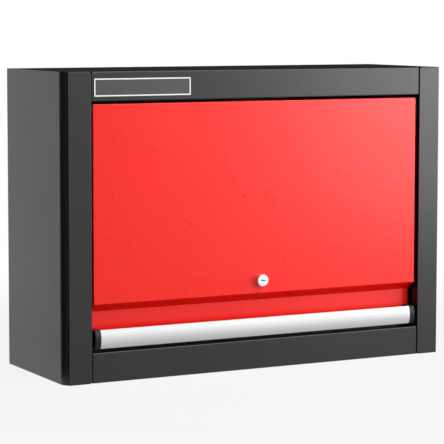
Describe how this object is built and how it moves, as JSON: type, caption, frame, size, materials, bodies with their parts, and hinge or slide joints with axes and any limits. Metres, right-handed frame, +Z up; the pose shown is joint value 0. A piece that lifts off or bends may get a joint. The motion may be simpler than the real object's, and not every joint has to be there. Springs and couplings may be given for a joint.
{
  "type": "wall tool cabinet",
  "caption": "Wall-hung steel tool cabinet with a lift-up flap door, full-width finger-pull handle, cam lock, gas struts and an inner shelf.",
  "frame": {"origin": "centre of the overall box at the underside of the cabinet", "axes": "+X to the right seen from the front, +Y from the door towards the wall, +Z up"},
  "size_m": [0.715, 0.2454, 0.5],
  "materials": {
    "casing_paint": "semi-gloss anthracite powder coat",
    "door_paint": "semi-gloss red powder coat",
    "aluminium": "satin anodised",
    "cap_plastic": "fine-grained dark grey plastic",
    "lock_chrome": "polished",
    "zinc_steel": "bright zinc plated",
    "nylon": "black nylon",
    "dark_steel": "black passivated steel",
    "rubber": "matte",
    "strut_paint": "black paint",
    "rod_chrome": "ground and plated",
    "plate": "blank plate, dark field in a white rim"
  },
  "bodies": {
    "casing": {"left_side_panel": "casing_paint", "right_side_panel": "casing_paint", "left_front_stile": "casing_paint", "right_front_stile": "casing_paint", "top_panel": "casing_paint", "bottom_panel": "casing_paint", "top_rail": "casing_paint", "bottom_rail": "casing_paint", "back_panel": "casing_paint", "upper_hanging_rail": "casing_paint", "lower_hanging_rail": "casing_paint", "hanging_rail_rivets": "zinc_steel", "shelf": "casing_paint", "shelf_uprights": "casing_paint", "shelf_clips": "zinc_steel", "left_pivot_plate": "dark_steel", "right_pivot_plate": "dark_steel", "pivot_plate_rivets": "dark_steel", "left_hinge_pin": "dark_steel", "right_hinge_pin": "dark_steel", "left_casing_stud": "zinc_steel", "right_casing_stud": "zinc_steel", "door_buffers": "rubber", "name_plate": "plate"},
    "door": {"door_skin": "door_paint", "door_recess_panel": "door_paint", "door_inner_panel": "door_paint", "handle_profile": "aluminium", "left_handle_cap": "cap_plastic", "right_handle_cap": "cap_plastic", "handle_screws": "zinc_steel", "lock_housing": "lock_chrome", "lock_nut": "zinc_steel", "left_hinge_bush": "nylon", "right_hinge_bush": "nylon", "left_door_strut_bracket": "zinc_steel", "right_door_strut_bracket": "zinc_steel", "left_door_stud": "zinc_steel", "right_door_stud": "zinc_steel"},
    "lock": {"lock_plug": "lock_chrome", "lock_cam": "zinc_steel", "cam_screw": "zinc_steel"},
    "left_cylinder": {"left_strut_tube": "strut_paint", "left_strut_tube_end": "cap_plastic"},
    "left_rod": {"left_strut_rod": "rod_chrome", "left_strut_rod_end": "cap_plastic"},
    "right_cylinder": {"right_strut_tube": "strut_paint", "right_strut_tube_end": "cap_plastic"},
    "right_rod": {"right_strut_rod": "rod_chrome", "right_strut_rod_end": "cap_plastic"}
  },
  "joints": [
    {"name": "door_hinge", "type": "hinge", "parent": "casing", "child": "door", "pos_m": [0, -0.10475, 0.439], "axis": [-1, 0, 0], "range_deg": [0, 90]},
    {"name": "lock_turn", "type": "hinge", "parent": "door", "child": "lock", "pos_m": [0, -0.11275, 0.149], "axis": [0, 1, 0], "range_deg": [0, 90]},
    {"name": "left_strut_swing", "type": "hinge", "parent": "casing", "child": "left_cylinder", "pos_m": [-0.297, -0.07075, 0.412], "axis": [-1, 0, 0], "range_deg": [0, 89.07]},
    {"name": "left_strut_slide", "type": "slide", "parent": "left_cylinder", "child": "left_rod", "axis": [0, 0.06, -0.9982], "range_m": [0, 0.06139]},
    {"name": "right_strut_swing", "type": "hinge", "parent": "casing", "child": "right_cylinder", "pos_m": [0.297, -0.07075, 0.412], "axis": [-1, 0, 0], "range_deg": [0, 89.07]},
    {"name": "right_strut_slide", "type": "slide", "parent": "right_cylinder", "child": "right_rod", "axis": [0, 0.06, -0.9982], "range_m": [0, 0.06139]}
  ],
  "couplings": [
    {"joint": "left_strut_swing", "follows": "door_hinge", "ratio": 0.98912},
    {"joint": "left_strut_slide", "follows": "door_hinge", "m_per_rad": 0.039049},
    {"joint": "right_strut_swing", "follows": "door_hinge", "ratio": 0.98912},
    {"joint": "right_strut_slide", "follows": "door_hinge", "m_per_rad": 0.039049}
  ]
}
